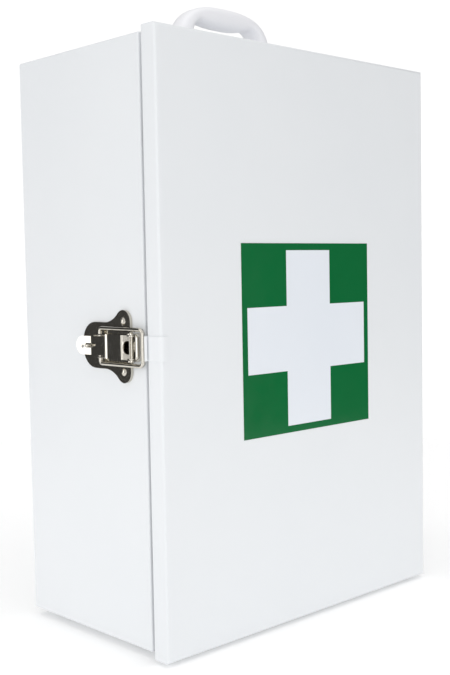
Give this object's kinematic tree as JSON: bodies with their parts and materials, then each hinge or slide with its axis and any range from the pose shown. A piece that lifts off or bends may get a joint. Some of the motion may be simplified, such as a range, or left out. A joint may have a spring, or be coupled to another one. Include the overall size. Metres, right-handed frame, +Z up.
{
  "type": "lockable medicine cabinet",
  "caption": "Steel wall or carry medicine cabinet with a hinged door, a green and white cross sign, a top handle and a padlockable toggle latch.",
  "frame": {"origin": "centre of the four wall-fixing holes, in the plane of the back panel's outer face", "axes": "+Z up, +Y out of the back towards the wall, +X towards the hinged side; the door faces -Y and the latch is on -X"},
  "size_m": [0.3239, 0.176, 0.5076],
  "materials": {
    "powder_coat": "white satin powder coat on sheet steel",
    "white_plastic": "moulded white plastic with a soft sheen",
    "nickel_plate": "bright nickel plate on pressed steel",
    "zinc_steel": "zinc-plated steel",
    "black_rubber": "moulded black rubber",
    "green_film": "green self-adhesive film",
    "white_film": "white self-adhesive film"
  },
  "bodies": {
    "cabinet": {"body_wrapper": "powder_coat", "front_frame": "powder_coat", "back_panel": "powder_coat", "shelf_upper": "powder_coat", "shelf_lower": "powder_coat", "shelf_rails": "powder_coat", "shelf_screws": "zinc_steel", "rubber_feet": "black_rubber", "foot_screws": "zinc_steel", "door_buffers": "black_rubber", "handle_grip": "white_plastic", "handle_screws": "zinc_steel", "handle_washers": "zinc_steel", "hinge_body_leaf": "zinc_steel", "hinge_pin": "zinc_steel", "latch_base": "nickel_plate", "latch_staple": "nickel_plate", "latch_rivets": "nickel_plate", "latch_pivot_pin": "nickel_plate"},
    "door": {"door_pan": "powder_coat", "hinge_door_leaf": "zinc_steel", "sign_green_field": "green_film", "sign_white_cross": "white_film", "latch_keeper": "powder_coat"},
    "lever": {"latch_lever": "nickel_plate"},
    "bail": {"latch_bail": "nickel_plate"}
  },
  "joints": [
    {"name": "door_swing", "type": "hinge", "parent": "cabinet", "child": "door", "pos_m": [0.15735, -0.1577, 0], "axis": [0, 0, 1], "range_deg": [0, 180]},
    {"name": "lever_swing", "type": "hinge", "parent": "cabinet", "child": "lever", "pos_m": [-0.1573, -0.144, 0], "axis": [0, 0, 1], "range_deg": [0, 140]},
    {"name": "bail_swing", "type": "hinge", "parent": "lever", "child": "bail", "pos_m": [-0.15695, -0.106, 0], "axis": [0, 0, 1], "range_deg": [-170, 0]}
  ],
  "couplings": [
    {"joint": "bail_swing", "follows": "lever_swing", "ratio": -1.2}
  ]
}
